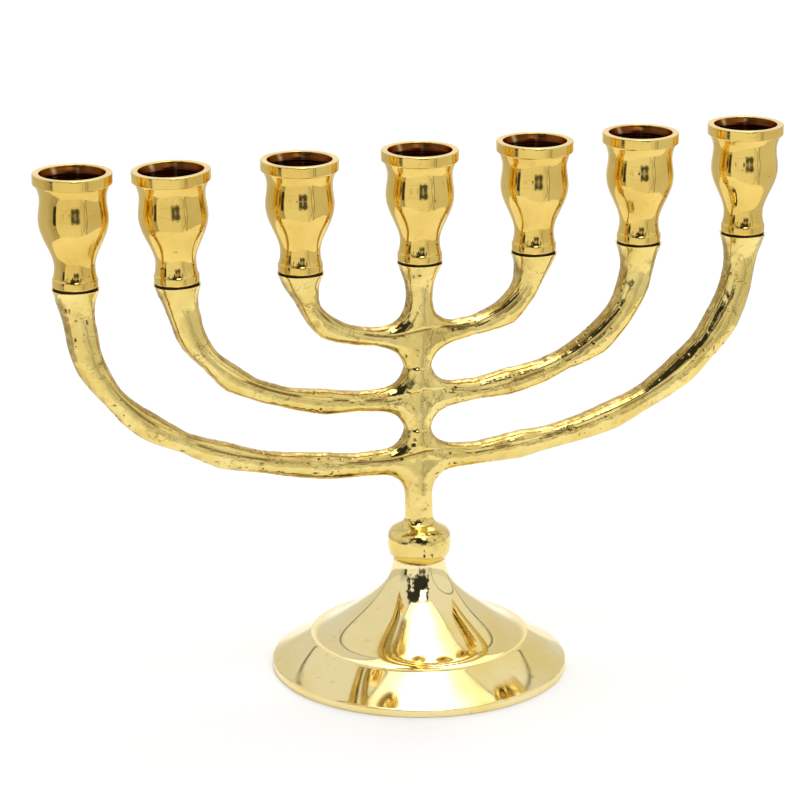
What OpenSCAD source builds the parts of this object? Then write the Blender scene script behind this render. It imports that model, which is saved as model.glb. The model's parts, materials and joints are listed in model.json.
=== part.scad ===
// Seven-branch candelabrum in polished brass: a hollow round base, one casting of stem and six arms,
// and seven turned candle cups that unscrew. +X runs along the arms, -Y is the front, +Z is up.
// The origin is the centre of the base on the surface that it stands on.

/* [Base] */
// Radius of the base at its outer rim
base_r = 52; // [48:0.5:58]
// Height of the small upright lip round the rim
lip_h = 2.6; // [2:0.1:4]
// Radius of the step edge between the two flares
step_r = 38.5; // [34:0.5:42]
// Height of the step edge
step_z = 12; // [10:0.5:14]
// How far the lower flare starts below the step edge
step_drop = 0.6; // [0.4:0.1:2]
// Radius of the neck that carries the knop
neck_r = 9.2; // [8.6:0.1:9.8]
// Height of the flat top of the neck
neck_z = 40; // [38:1:48]
// Thickness of the hollow wall
wall_t = 2.2; // [1.6:0.1:2.6]

/* [Stem and knop] */
// Largest radius of the knop
knop_r = 11.2; // [10.4:0.1:13]
// Height of the knop
knop_h = 12.5; // [12:0.5:15]
// Radius of the stem where it leaves the knop
stem_low_r = 5.2; // [4.8:0.1:6]
// Radius of the stem between the arms
stem_r = 4.6; // [4.4:0.1:5]

/* [Arms] */
// Height at which the lowest pair of arms leaves the stem
low_arm_z = 76.2; // [74:0.1:80]
// Height between one pair of arms and the next
arm_pitch = 22.2; // [20:0.1:23]
// Reach of the outer arms, from the stem to the cup
outer_reach = 121.5; // [116:0.5:135]
// Reach of the left middle arm
left_middle_reach = 86.5; // [80:0.5:89]
// Reach of the right middle arm
right_middle_reach = 81.5; // [80:0.5:89]
// Reach of the left inner arm
left_inner_reach = 43; // [38:0.5:48]
// Reach of the right inner arm
right_inner_reach = 42; // [38:0.5:48]
// Roundness of the sweep of an arm: 2 is an ellipse, more is squarer
arm_squareness = 2.4; // [2.1:0.1:2.7]
// Half thickness of an arm near the stem
arm_thin = 3.8; // [3.5:0.1:4]
// Half thickness of an arm where it stands upright
arm_thick = 5.2; // [5:0.1:5.6]
// Height of the seats that the cups stand on
seat_z = 147.5; // [145:0.5:155]
// How much higher the left outer seat stands
left_outer_lift = 1.5; // [0:0.5:3]
// Radius of a seat
seat_r = 8; // [7.8:0.1:8.4]
// Lean of the left middle seat and its cup, outwards in degrees
left_middle_lean = 2; // [0:0.5:3]

/* [Cups] */
// Height of a cup
cup_h = 39.5; // [38:0.5:44]
// Outer radius of the rim
rim_r = 13.4; // [13.2:0.1:15]
// Height of the rim band
rim_h = 3.6; // [3:0.1:4]
// Radius of the candle socket
socket_r = 10; // [9:0.1:10.2]
// Depth of the straight part of the socket, from the rim
socket_depth = 18; // [14:0.5:18]
// Radius of the flared mouth of the socket
mouth_r = 11.1; // [10.8:0.1:11.6]
// Radius of the foot
foot_r = 7.7; // [7.4:0.1:8]

/* [Threads] */
// Nominal radius of the cup studs
stud_r = 2.5; // [2:0.1:2.6]
// Nominal radius of the base stud
base_stud_r = 4; // [3:0.1:4.2]
// Radial clearance in every threaded or plain stud hole
stud_gap = 0.08; // [0.05:0.01:0.1]

/* [Hidden] */
$fn = 96;

brass = [0.89, 0.75, 0.40];
bright_brass = [0.95, 0.82, 0.48];
dark_brass = [0.55, 0.42, 0.18];

// base: the numbers that bend the two flares, and the solid boss under the neck that takes the stud
flare_points = 22;
cone_slope = 0.74;
edge_slope = 0.1;
edge_fade = 4.5;
neck_bend = 10;
flare_over = 0.2;
rim_points = 10;
knee_out = 6;
knee_up = 3.9;
step_under = 0.3;
boss_h = 10;
boss_z = neck_z - boss_h;
boss_inner_r = 9.3;
inner_step = 3;
point_gap = 0.3;

// hardware under the base
washer_r = 8;
washer_t = 1.6;
nut_flats = 13;
nut_t = 6.5;
stud_tail = 2;
cut = 1;

// studs: their lengths in a cup, in an arm and in the knop, the spare depth of the holes,
// and the chamfer on their ends
cup_thread = 7;
arm_thread = 8.5;
knop_thread = 10.5;
hole_spare = 1;
stud_chamfer = 0.5;

// arms: rings of a swept tube, flared in height into the stem and all round under the seats
arm_rings = 20;
arm_sides = 14;
arm_spread = 0.12;
arm_stop = 2;
web_reach = 16;
web_height = 9.6;
web_core = 4;
arm_depth_ratio = 1.06;
wave_height = 0.35;
wave_count = 3.5;
trumpet_h = 14;
trumpet_points = 8;
collar_h = 5.5;
collar_low_r = 5;
collar_step = 0.3;
seat_bevel = 0.4;

// knop and stem: how square the knop is, the groove under it, and where the stem has thinned
knop_points = 14;
knop_bulge = 3.2;
knop_foot_r = 9.5;
knop_seam = 0.5;
stem_taper = 14;

// cups: radii and heights of the turned outline above the foot
cup_points = 40;
waist_r = 11.25;
bulge_r = 11.85;
neck_cup_r = 6.9;
foot_h = 3.5;
foot_bevel = 0.4;
foot_ledge = 0.25;
rim_bevel = 0.3;
rim_ledge = 0.7;
ledge_h = 0.1;
mouth_h = 2;
drill_slope = 59;
body_high = cup_h - rim_h;
neck_at = 7.6;
bulge_at = 24;
bulge_skew = 0.92;
waist_at = 30.6;

// where the cups stand, from left to right: distance along the arms, height of the seat and lean
cup_places = [
    [-outer_reach, seat_z + left_outer_lift, 0],
    [-left_middle_reach, seat_z, -left_middle_lean],
    [-left_inner_reach, seat_z, 0],
    [0, seat_z, 0],
    [right_inner_reach, seat_z, 0],
    [right_middle_reach, seat_z, 0],
    [outer_reach, seat_z, 0]
];

function middle_z() = low_arm_z + arm_pitch;
function inner_z() = low_arm_z + 2 * arm_pitch;
function superellipse(a, n) = [pow(sin(a), 2 / n), pow(cos(a), 2 / n)];
function mix(a, b, t) = a + (b - a) * t;
function share(x, low, high) = (x - low) / (high - low);
function ease(t) = (1 - cos(180 * t)) / 2;

// ---------------------------------------------------------------- base

// height of the cone over the step edge, a distance d in from that edge, where it flattens
function cone_rise(d) = cone_slope * d - (cone_slope - edge_slope) * edge_fade * (1 - exp(-d / edge_fade));

// one point of the upper flare, t = 0 at the neck and 1 at the step edge: the cone, and a rise that
// steepens to the neck
function flare(t) = let (
    u = 1 - t * t,
    d = (step_r - neck_r) * u,
    rise = neck_z + flare_over - step_z - cone_rise(step_r - neck_r)
) [
    step_r - d,
    step_z + cone_rise(d) + rise * (1 - sqrt(1 - pow(u, neck_bend)))
];

// one point of the lower flare, t = 0 under the step, where it is steepest, and 1 at the lip
function low_flare(t) = let (
    top = [step_r - step_under, step_z - step_drop],
    knee = [step_r + knee_out, lip_h + knee_up],
    rim = [base_r, lip_h]
) mix(mix(top, knee, t), mix(knee, rim, t), t);

// a curve moved inwards by d, square to itself
function inset(points, d) = [
    for (i = [0 : len(points) - 1])
        let (
            before = points[max(i - 1, 0)],
            after = points[min(i + 1, len(points) - 1)],
            along = (after - before) / norm(after - before)
        )
        points[i] + d * [along[1], -along[0]]
];

module base_outline() {
    upper = [for (i = [1 : flare_points]) flare(i / flare_points)];
    lower = [for (i = [0 : rim_points]) low_flare(i / rim_points)];
    inner_upper = [
        for (p = inset(upper, wall_t))
            if (p[0] > boss_inner_r && p[0] < step_r - inner_step && p[1] < boss_z - point_gap) p
    ];
    inner_lower = [for (p = inset(lower, wall_t)) if (p[0] > step_r && p[0] < base_r - wall_t) p];
    polygon(concat(
        [[base_stud_r + stud_gap, neck_z], [neck_r, neck_z]],
        [for (p = upper) if (p[1] < neck_z - point_gap) p],
        lower,
        [[base_r, 0], [base_r - wall_t, 0]],
        [for (i = [len(inner_lower) - 1 : -1 : 0]) inner_lower[i]],
        [for (i = [len(inner_upper) - 1 : -1 : 0]) inner_upper[i]],
        [[boss_inner_r, boss_z], [base_stud_r + stud_gap, boss_z]]
    ));
}

module base() {
    color(bright_brass) rotate_extrude() base_outline();
}

module base_washer() {
    color(dark_brass) translate([0, 0, boss_z - washer_t]) difference() {
        cylinder(r = washer_r, h = washer_t);
        translate([0, 0, -cut]) cylinder(r = base_stud_r + stud_gap, h = washer_t + 2 * cut);
    }
}

module base_nut() {
    color(dark_brass) translate([0, 0, boss_z - washer_t - nut_t]) difference() {
        cylinder(d = nut_flats / cos(30), h = nut_t, $fn = 6);
        translate([0, 0, -cut]) cylinder(r = base_stud_r + stud_gap, h = nut_t + 2 * cut);
    }
}

// ---------------------------------------------------------------- studs

module stud(r, length) {
    rotate_extrude() polygon([
        [0, 0], [r - stud_chamfer, 0], [r, stud_chamfer],
        [r, length - stud_chamfer], [r - stud_chamfer, length], [0, length]
    ]);
}

module base_stud() {
    low = boss_z - washer_t - nut_t - stud_tail;
    color(dark_brass) translate([0, 0, low]) stud(base_stud_r, neck_z + knop_thread - low);
}

module cup_stud(place) {
    color(dark_brass) at(place) translate([0, 0, -arm_thread]) stud(stud_r, arm_thread + cup_thread);
}

// ---------------------------------------------------------------- casting

// one point of the knop, t = 0 at its foot and 1 where the stem leaves it
function knop(t) = [
    t < 0.5
        ? knop_r - (knop_r - knop_foot_r) * pow(1 - 2 * t, knop_bulge)
        : knop_r - (knop_r - stem_low_r) * pow(2 * t - 1, knop_bulge),
    neck_z + knop_h * t
];

module stem() {
    rotate_extrude() polygon(concat(
        [[0, neck_z], [knop_foot_r - knop_seam, neck_z]],
        [for (i = [1 : knop_points]) knop(i / knop_points)],
        [[stem_r, low_arm_z - stem_taper]],
        [for (i = [0 : trumpet_points]) let (d = mix(trumpet_h, arm_stop, i / trumpet_points))
            [trumpet(stem_r, d), seat_z - d]],
        [[0, seat_z - arm_stop]]
    ));
}

// an arm widens like a trumpet under its seat: the radius a height d below the seat
function trumpet(thin, d) =
    thin + (seat_r - collar_step - thin) * pow(1 - min(d, trumpet_h) / trumpet_h, 2);

// moves a cup, a stud, a hole or a collar to one of the places where the cups stand
module at(place) {
    translate([place[0], 0, place[1]]) rotate([0, place[2], 0]) children();
}

module collar() {
    rotate_extrude() polygon([
        [0, 0], [seat_r - seat_bevel, 0], [seat_r, -seat_bevel], [seat_r - collar_step, -arm_stop],
        [collar_low_r, -collar_h], [0, -collar_h]
    ]);
}

// a point on the centre line of an arm, a = 0 at the stem and 90 at the seat
function arm_point(reach, root, top, a) = let (s = superellipse(a, arm_squareness))
    [reach * s[0], top - (top - root) * s[1]];

// half height of the section: thin near the stem, thick where upright, flared into the stem
function arm_height(x, u, below) = trumpet(mix(arm_thin, arm_thick, ease(u)), below)
    + wave_height * sin(360 * wave_count * u) * (1 - u)
    + web_height * pow(1 - min(max(abs(x), web_core), web_reach) / web_reach, 2);
function arm_depth(u, below) = trumpet(arm_depth_ratio * mix(arm_thin, arm_thick, ease(u)), below);

// signed steps along a pair of arms, from the left tip through the stem to the right tip
function arm_steps() = [for (i = [-arm_rings : arm_rings]) i / arm_rings];

// angle along the sweep: rings lie closer at the stem and at the tip, and the last is inside the tip
function arm_angle(s, rise) = (s - arm_spread * sin(360 * s))
    * acos(pow(arm_stop / rise, arm_squareness / 2));

function arm_ring(left, right, root, top_left, top_right, s) =
    let (
        reach = s < 0 ? -left : right,
        top = s < 0 ? top_left : top_right,
        a = arm_angle(abs(s), top - root),
        p = arm_point(reach, root, top, a),
        ahead = arm_point(reach, root, top, min(a + 1, 90)),
        behind = arm_point(reach, root, top, max(a - 1, 0)),
        way = (s < 0 ? -1 : 1) * (s == 0 ? [1, 0] : (ahead - behind) / norm(ahead - behind)),
        across = [-way[1], way[0]],
        h = arm_height(p[0], abs(s), top - p[1]),
        d = arm_depth(abs(s), top - p[1])
    )
    [for (k = [0 : arm_sides - 1]) let (b = 360 * (k + 0.5) / arm_sides)
        [p[0] + across[0] * h * cos(b), d * sin(b), p[1] + across[1] * h * cos(b)]];

// a pair of arms as one tube swept from tip to tip
module arm_pair(left, right, root, top_left, top_right) {
    rings = [for (s = arm_steps()) arm_ring(left, right, root, top_left, top_right, s)];
    count = len(rings);
    n = arm_sides;
    sides = [for (i = [0 : count - 2], k = [0 : n - 1])
        [i * n + k, i * n + (k + 1) % n, (i + 1) * n + (k + 1) % n, (i + 1) * n + k]];
    first = [for (k = [n - 1 : -1 : 0]) k];
    last = [for (k = [0 : n - 1]) (count - 1) * n + k];
    polyhedron([for (r = rings) each r], concat([first], sides, [last]));
}

module stud_hole() {
    depth = arm_thread + hole_spare;
    translate([0, 0, -depth]) cylinder(r = stud_r + stud_gap, h = depth + cut);
}

module casting() {
    color(brass) difference() {
        union() {
            stem();
            arm_pair(outer_reach, outer_reach, low_arm_z, seat_z + left_outer_lift, seat_z);
            arm_pair(left_middle_reach, right_middle_reach, middle_z(), seat_z, seat_z);
            arm_pair(left_inner_reach, right_inner_reach, inner_z(), seat_z, seat_z);
            for (place = cup_places) at(place) collar();
        }
        for (place = cup_places) at(place) stud_hole();
        translate([0, 0, neck_z - cut])
            cylinder(r = base_stud_r + stud_gap, h = knop_thread + hole_spare + cut);
    }
}

// ---------------------------------------------------------------- cups

// radius of the turned body a height z above the foot, from the foot ledge to under the rim
function body_radius(z) =
    z < neck_at ? mix(foot_r - foot_ledge, neck_cup_r, sin(90 * share(z, foot_h, neck_at)))
    : z < bulge_at ? mix(neck_cup_r, bulge_r, ease(pow(share(z, neck_at, bulge_at), bulge_skew)))
    : z < waist_at ? mix(bulge_r, waist_r, ease(share(z, bulge_at, waist_at)))
    : mix(waist_r, rim_r - rim_ledge, 1 - cos(90 * share(z, waist_at, body_high)));

module cup_outline() {
    body = [for (i = [0 : cup_points]) let (z = mix(foot_h, body_high, i / cup_points)) [body_radius(z), z]];
    drill_tip = cup_h - socket_depth - socket_r / tan(drill_slope);
    hole_r = stud_r + stud_gap;
    polygon(concat(
        [[hole_r, 0], [foot_r - foot_bevel, 0], [foot_r, foot_bevel], [foot_r, foot_h - ledge_h]],
        body,
        [[rim_r, body_high + ledge_h], [rim_r, cup_h - rim_bevel], [rim_r - rim_bevel, cup_h]],
        [[mouth_r, cup_h], [socket_r, cup_h - mouth_h], [socket_r, cup_h - socket_depth], [0, drill_tip]],
        [[0, cup_thread + hole_spare + hole_r / tan(drill_slope)], [hole_r, cup_thread + hole_spare]]
    ));
}

module cup(place) {
    color(bright_brass) at(place) rotate_extrude() cup_outline();
}

base();
base_washer();
base_nut();
base_stud();
casting();
cup_stud(cup_places[0]);  // stud_left_outer
cup_stud(cup_places[1]);  // stud_left_middle
cup_stud(cup_places[2]);  // stud_left_inner
cup_stud(cup_places[3]);  // stud_centre
cup_stud(cup_places[4]);  // stud_right_inner
cup_stud(cup_places[5]);  // stud_right_middle
cup_stud(cup_places[6]);  // stud_right_outer
cup(cup_places[0]);  // cup_left_outer
cup(cup_places[1]);  // cup_left_middle
cup(cup_places[2]);  // cup_left_inner
cup(cup_places[3]);  // cup_centre
cup(cup_places[4]);  // cup_right_inner
cup(cup_places[5]);  // cup_right_middle
cup(cup_places[6]);  // cup_right_outer
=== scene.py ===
import json
import math

import bpy
import numpy as np
from mathutils import Matrix, Vector


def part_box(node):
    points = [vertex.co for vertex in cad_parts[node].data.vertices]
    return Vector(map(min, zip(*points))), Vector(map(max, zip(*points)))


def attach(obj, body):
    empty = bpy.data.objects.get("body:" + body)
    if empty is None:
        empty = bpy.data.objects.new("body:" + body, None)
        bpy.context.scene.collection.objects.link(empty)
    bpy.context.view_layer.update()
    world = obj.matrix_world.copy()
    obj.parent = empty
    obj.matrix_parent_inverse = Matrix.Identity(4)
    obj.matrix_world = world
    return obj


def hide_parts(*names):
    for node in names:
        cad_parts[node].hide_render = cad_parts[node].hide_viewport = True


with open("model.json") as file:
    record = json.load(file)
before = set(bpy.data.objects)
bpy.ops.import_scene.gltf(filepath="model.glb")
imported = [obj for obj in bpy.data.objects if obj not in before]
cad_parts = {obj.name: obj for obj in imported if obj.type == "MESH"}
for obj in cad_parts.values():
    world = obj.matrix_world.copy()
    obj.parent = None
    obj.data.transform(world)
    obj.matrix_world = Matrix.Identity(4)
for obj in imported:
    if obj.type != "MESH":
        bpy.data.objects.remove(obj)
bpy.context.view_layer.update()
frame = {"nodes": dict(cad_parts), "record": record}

# The seven-branch brass candelabrum, rebuilt in fine meshes around the CAD frame.
# Lengths are in millimetres while a shape is worked out, and become metres when its mesh is made.
MM = 0.001
PLACES = ("left_outer", "left_middle", "left_inner", "centre", "right_inner", "right_middle", "right_outer")
MOUNTS = {m["name"]: m for m in frame["record"]["mounts"]}


# ------------------------------------------------------------------ frame

def node_box(node):
    """Lowest and highest corner of a CAD node, in millimetres."""
    low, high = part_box(node)
    return np.array(low) / MM, np.array(high) / MM


def cup_axis(place):
    """Unit vector up the axis of a cup."""
    return Vector(MOUNTS["candle_" + place]["axis"]).normalized()


def seat_point(place):
    """The middle of the seat that a cup stands on, in millimetres."""
    axis = cup_axis(place)
    mouth = Vector(MOUNTS["candle_" + place]["pos_m"]) / MM
    low, high = node_box("cup_" + place)
    top = high[2] - CUP["rim_r"] * abs(axis.x)
    along = (top - mouth.z) / axis.z - CUP["height"]
    return mouth + axis * along


# ------------------------------------------------------------------ mesh helpers

def new_piece(name, vertices, faces, material_of_face, materials):
    """A smooth-shaded mesh object from points in millimetres."""
    mesh = bpy.data.meshes.new(name)
    mesh.from_pydata((np.asarray(vertices) * MM).tolist(), [], faces)
    for material in materials:
        mesh.materials.append(material)
    mesh.polygons.foreach_set("use_smooth", np.ones(len(mesh.polygons), bool))
    if material_of_face is not None:
        mesh.polygons.foreach_set("material_index", np.asarray(material_of_face, np.int32))
    mesh.validate()
    mesh.update()
    piece = bpy.data.objects.new(name, mesh)
    bpy.context.scene.collection.objects.link(piece)
    return piece


def arc(centre, radius, start, end, count):
    """Points on a round edge: (r, z) about centre, from start to end in degrees."""
    angles = np.radians(np.linspace(start, end, count))
    return [(centre[0] + radius * math.cos(a), centre[1] + radius * math.sin(a)) for a in angles]


def along(start, end, count):
    """Points on a straight stretch, without its ends."""
    shares = np.linspace(0, 1, count + 2)[1:-1]
    return [(start[0] + (end[0] - start[0]) * t, start[1] + (end[1] - start[1]) * t) for t in shares]


def lathe(name, rows, segments, materials, radius_at=None):
    """A turned solid. rows are (r, z, material) from axis to axis or round a closed loop.
    radius_at(r, z, angles) may shape the radius, as on a thread."""
    angles = np.linspace(0, 2 * math.pi, segments, endpoint=False)
    closed = rows[0][0] > 0
    vertices, rings, faces, slots = [], [], [], []
    for r, z, _ in rows:
        start = len(vertices)
        if r == 0:
            vertices.append((0, 0, z))
            rings.append([start] * segments)
            continue
        radii = np.full(segments, r) if radius_at is None else radius_at(r, z, angles)
        vertices += list(zip(radii * np.cos(angles), radii * np.sin(angles), np.full(segments, z)))
        rings.append(list(range(start, start + segments)))
    pairs = list(zip(range(len(rows) - 1), range(1, len(rows))))
    if closed:
        pairs.append((len(rows) - 1, 0))
    for i, j in pairs:
        for k in range(segments):
            n = (k + 1) % segments
            corners = [rings[i][k], rings[i][n], rings[j][n], rings[j][k]]
            faces.append(list(dict.fromkeys(corners)))
            slots.append(rows[j][2])
    # the sign of the volume tells whether the faces look outwards
    volume = sum((a[0] + b[0]) ** 2 * (b[1] - a[1]) for a, b in zip(rows, rows[1:] + rows[:1]))
    if volume < 0:
        faces = [face[::-1] for face in faces]
    return new_piece(name, vertices, faces, slots, materials)


def smoothstep(low, high, x):
    """Rises smoothly from 0 at low to 1 at high. With low above high it falls instead."""
    t = np.clip((x - low) / (high - low), 0, 1)
    return t * t * (3 - 2 * t)


def soft_min(a, b, k):
    """The smaller of two distances, rounded where they are within k of each other."""
    h = np.clip(k - np.abs(a - b), 0, None) / k
    return np.minimum(a, b) - h * h * k / 4


def lattice(cells, seed):
    """A repeatable random number from 0 to 1 for each whole-number cell."""
    n = cells[..., 0] * 374761393 + cells[..., 1] * 668265263 + cells[..., 2] * 2147483647 + seed * 974634777
    n = (n ^ (n >> 13)) * 1274126177
    n = n ^ (n >> 16)
    return (n & 0xFFFFFF) / float(0xFFFFFF)


def noise(points, size, seed):
    """Smooth noise from -1 to 1 with bumps of the given size."""
    p = np.asarray(points, float) / size
    base = np.floor(p).astype(np.int64)
    t = p - base
    t = t * t * t * (t * (t * 6 - 15) + 10)
    total = 0
    for dx in (0, 1):
        for dy in (0, 1):
            for dz in (0, 1):
                weight = (t[..., 0] if dx else 1 - t[..., 0]) * (t[..., 1] if dy else 1 - t[..., 1])
                weight = weight * (t[..., 2] if dz else 1 - t[..., 2])
                total = total + weight * lattice(base + np.array([dx, dy, dz]), seed)
    return 2 * total - 1


# ------------------------------------------------------------------ materials

class Graph:
    """Short calls for building a node tree. A value given to them is a socket to link or a constant."""

    def add(self, kind, **settings):
        node = self.tree.nodes.new(kind)
        for key, value in settings.items():
            setattr(node, key, value)
        return node

    def link(self, source, target):
        self.tree.links.new(source, target)

    def put(self, value, socket):
        if isinstance(value, bpy.types.NodeSocket):
            self.link(value, socket)
        else:
            socket.default_value = value

    def feed(self, node, **inputs):
        for key, value in inputs.items():
            self.put(value, node.inputs[key])

    def math(self, operation, *values):
        node = self.add("ShaderNodeMath", operation=operation)
        for socket, value in zip(node.inputs, values):
            self.put(value, socket)
        return node.outputs[0]


class Nodes(Graph):
    """A material's node tree."""

    def __init__(self, name):
        self.material = bpy.data.materials.new(name)
        self.material.use_nodes = True
        self.tree = self.material.node_tree
        self.shader = self.tree.nodes["Principled BSDF"]
        self.place = self.add("ShaderNodeTexCoord").outputs["Object"]

    def mapped(self, scale):
        node = self.add("ShaderNodeMapping")
        self.feed(node, Vector=self.place, Scale=scale)
        return node.outputs["Vector"]

    def noise(self, scale, detail=3.0, roughness=0.55, stretch=(1, 1, 1), distortion=0.0):
        node = self.add("ShaderNodeTexNoise")
        self.feed(node, Vector=self.mapped(stretch), Scale=scale, Detail=detail, Roughness=roughness,
                  Distortion=distortion)
        return node.outputs["Fac"]

    def ramp(self, value, *stops):
        node = self.add("ShaderNodeValToRGB")
        self.link(value, node.inputs["Fac"])
        elements = node.color_ramp.elements
        while len(elements) < len(stops):
            elements.new(0.5)
        for element, (position, colour) in zip(elements, stops):
            element.position = position
            element.color = (*colour, 1)
        return node.outputs["Color"]

    def grey(self, value, low, high, dark=0.0, light=1.0):
        return self.ramp(value, (low, (dark,) * 3), (high, (light,) * 3))

    def mix(self, factor, a, b):
        node = self.add("ShaderNodeMix", data_type="RGBA")
        for key, value in (("Factor", factor), ("A", a), ("B", b)):
            socket = [s for s in node.inputs if s.name == key and s.enabled][0]
            self.put((*value, 1) if isinstance(value, tuple) else value, socket)
        return [s for s in node.outputs if s.enabled][0]

    def attribute(self, name):
        return self.add("ShaderNodeAttribute", attribute_name=name).outputs["Fac"]

    def bump(self, height, distance, strength=1.0, normal=None):
        node = self.add("ShaderNodeBump")
        self.feed(node, Height=height, Distance=distance, Strength=strength)
        if normal is not None:
            self.link(normal, node.inputs["Normal"])
        return node.outputs["Normal"]

    def finish(self, colour, roughness, normal=None, metallic=1.0):
        self.feed(self.shader, Metallic=metallic, Roughness=roughness)
        self.link(colour, self.shader.inputs["Base Color"])
        if normal is not None:
            self.link(normal, self.shader.inputs["Normal"])
        return self.material


PALE_BRASS = (0.95, 0.80, 0.42)
SOFT_BRASS = (0.92, 0.72, 0.25)
CAST_BRASS = (0.90, 0.73, 0.27)
DULL_BRASS = (0.80, 0.60, 0.18)
WARM_BRASS = (0.85, 0.615, 0.17)
RICH_BRASS = (0.75, 0.50, 0.11)
DEEP_BRASS = (0.62, 0.34, 0.06)
OLIVE = (0.42, 0.30, 0.07)
# painted shade along the arms' edges
EDGE_SHADE_BRASS = (0.42, 0.27, 0.07)
# tarnish, also used for the painted shade along the arms' crease
TARNISH_AND_CREASE_SHADE = (0.24, 0.12, 0.025)
# dark dirt in pits, also used for the painted shade along the arms' crease
PIT_DIRT_AND_CREASE_SHADE = (0.015, 0.010, 0.006)
SOCKET_BROWN = (0.20, 0.062, 0.012)
SOCKET_DARK = (0.075, 0.018, 0.005)
SOCKET_RING = (0.19, 0.060, 0.014)
# painted highlight colour of the bright streaks inside the sockets
SOCKET_HIGHLIGHT = (0.62, 0.40, 0.17)
SOCKET_GLANCE = (0.40, 0.14, 0.025, 1)
DIRT_DARK = (0.02, 0.012, 0.006)
DIRT_BROWN = (0.09, 0.045, 0.012)
SCREW_BRASS = (0.55, 0.36, 0.12)
SCREW_DULL = (0.38, 0.22, 0.06)
PAPER = (0.95, 0.95, 0.95)
PAPER_SHADE = (0.93, 0.93, 0.93)


def polished_brass(name):
    """Mirror-polished brass with faint polishing haze and hairline scratches."""
    n = Nodes(name)
    clouds = n.noise(38.0, 4.0)
    colour = n.mix(n.grey(clouds, 0.42, 0.68), PALE_BRASS, SOFT_BRASS)
    spots = n.grey(n.noise(260.0, 2.0), 0.66, 0.74)
    colour = n.mix(n.math("MULTIPLY", spots, 0.35), colour, DEEP_BRASS)
    haze = n.grey(n.noise(90.0, 3.0), 0.35, 0.75, 0.045, 0.12)
    hairlines = n.noise(900.0, 2.0, stretch=(1, 1, 6))
    return n.finish(colour, haze, n.bump(hairlines, 0.00002, 0.12))


def turned_brass(name):
    """Polished brass with the faint rings that a lathe leaves, a few stains and dark specks."""
    n = Nodes(name)
    clouds = n.noise(55.0, 4.0)
    colour = n.mix(n.grey(clouds, 0.4, 0.7), WARM_BRASS, RICH_BRASS)
    stains = n.grey(n.noise(230.0, 6.0, 0.7, distortion=0.6), 0.60, 0.72)
    colour = n.mix(n.math("MULTIPLY", stains, 0.55), colour, DEEP_BRASS)
    specks = n.grey(n.noise(900.0, 2.0), 0.72, 0.76)
    colour = n.mix(n.math("MULTIPLY", specks, 0.8), colour, TARNISH_AND_CREASE_SHADE)
    rings = n.noise(1400.0, 1.0, stretch=(0.02, 0.02, 1))
    haze = n.grey(n.noise(120.0, 3.0), 0.35, 0.75, 0.05, 0.13)
    normal = n.bump(n.noise(110.0, 2.0), 0.0004, 0.16)
    normal = n.bump(rings, 0.00003, 0.25, normal)
    return n.finish(colour, haze, normal)


def cast_brass(name):
    """Cast brass polished over file marks: clouded, with dark lines, dirt in pits, and painted shade along
    the arms' edges and their crease.
    It reads the marks that hand_finish leaves on the mesh."""
    n = Nodes(name)
    clouds = n.noise(70.0, 5.0)
    colour = n.mix(n.grey(clouds, 0.36, 0.66), CAST_BRASS, DULL_BRASS)
    stains = n.grey(n.noise(150.0, 5.0, 0.65), 0.58, 0.74)
    colour = n.mix(n.math("MULTIPLY", stains, 0.6), colour, OLIVE)
    wandering = n.math("ABSOLUTE", n.math("SUBTRACT", n.noise(95.0, 5.0, 0.6, distortion=0.4), 0.5))
    areas = n.grey(n.noise(60.0, 2.0), 0.50, 0.60)
    lines = n.math("MULTIPLY", n.grey(wandering, 0.003, 0.011, 1.0, 0.0), areas)
    lines = n.math("MULTIPLY", lines, n.attribute("handled"))
    colour = n.mix(n.math("MULTIPLY", lines, 0.75), colour, TARNISH_AND_CREASE_SHADE)
    dirt_and_crease_shade = n.attribute("dirt_and_crease_shade")
    # painted shade: the arms' edges darkened and mottled
    mottle = n.grey(n.noise(420.0, 4.0, 0.65), 0.35, 0.62, 0.35, 1.0)
    shade = n.math("MULTIPLY", n.attribute("shade"), mottle)
    colour = n.mix(shade, colour, EDGE_SHADE_BRASS)
    # dirt in the pits and file marks, and the painted shade of the crease line, darkened in two steps
    colour = n.mix(n.grey(dirt_and_crease_shade, 0.15, 0.9), colour, TARNISH_AND_CREASE_SHADE)
    colour = n.mix(n.grey(dirt_and_crease_shade, 0.7, 1.0), colour, PIT_DIRT_AND_CREASE_SHADE)
    haze = n.grey(n.noise(200.0, 4.0), 0.3, 0.8, 0.06, 0.17)
    rough = n.math("ADD", haze, n.math("MULTIPLY", n.math("ADD", dirt_and_crease_shade, shade), 0.22))
    grain = n.bump(n.noise(1100.0, 3.0, 0.6), 0.00006, 0.25)
    return n.finish(colour, rough, n.bump(n.noise(330.0, 2.0), 0.00018, 0.35, grain))


def socket_brass(name):
    """Unpolished brass inside a candle socket: brown with rings from the boring tool, and painted
    highlights:
    bright upright streaks where a mesh attribute marks them."""
    n = Nodes(name)
    clouds = n.noise(120.0, 4.0)
    colour = n.mix(n.grey(clouds, 0.35, 0.7), SOCKET_BROWN, SOCKET_DARK)
    rings = n.noise(1500.0, 2.0, stretch=(0.03, 0.03, 1))
    colour = n.mix(n.grey(rings, 0.5, 0.7), colour, SOCKET_RING)
    # painted highlight: bright upright streaks inside the socket
    painted_streak = n.math("MULTIPLY", n.attribute("painted_streak"), n.grey(rings, 0.3, 0.6, 0.5, 1.0))
    colour = n.mix(painted_streak, colour, SOCKET_HIGHLIGHT)
    n.shader.inputs["Specular Tint"].default_value = SOCKET_GLANCE
    return n.finish(colour, n.grey(rings, 0.3, 0.7, 0.22, 0.4), n.bump(rings, 0.00012, 0.6))


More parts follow.
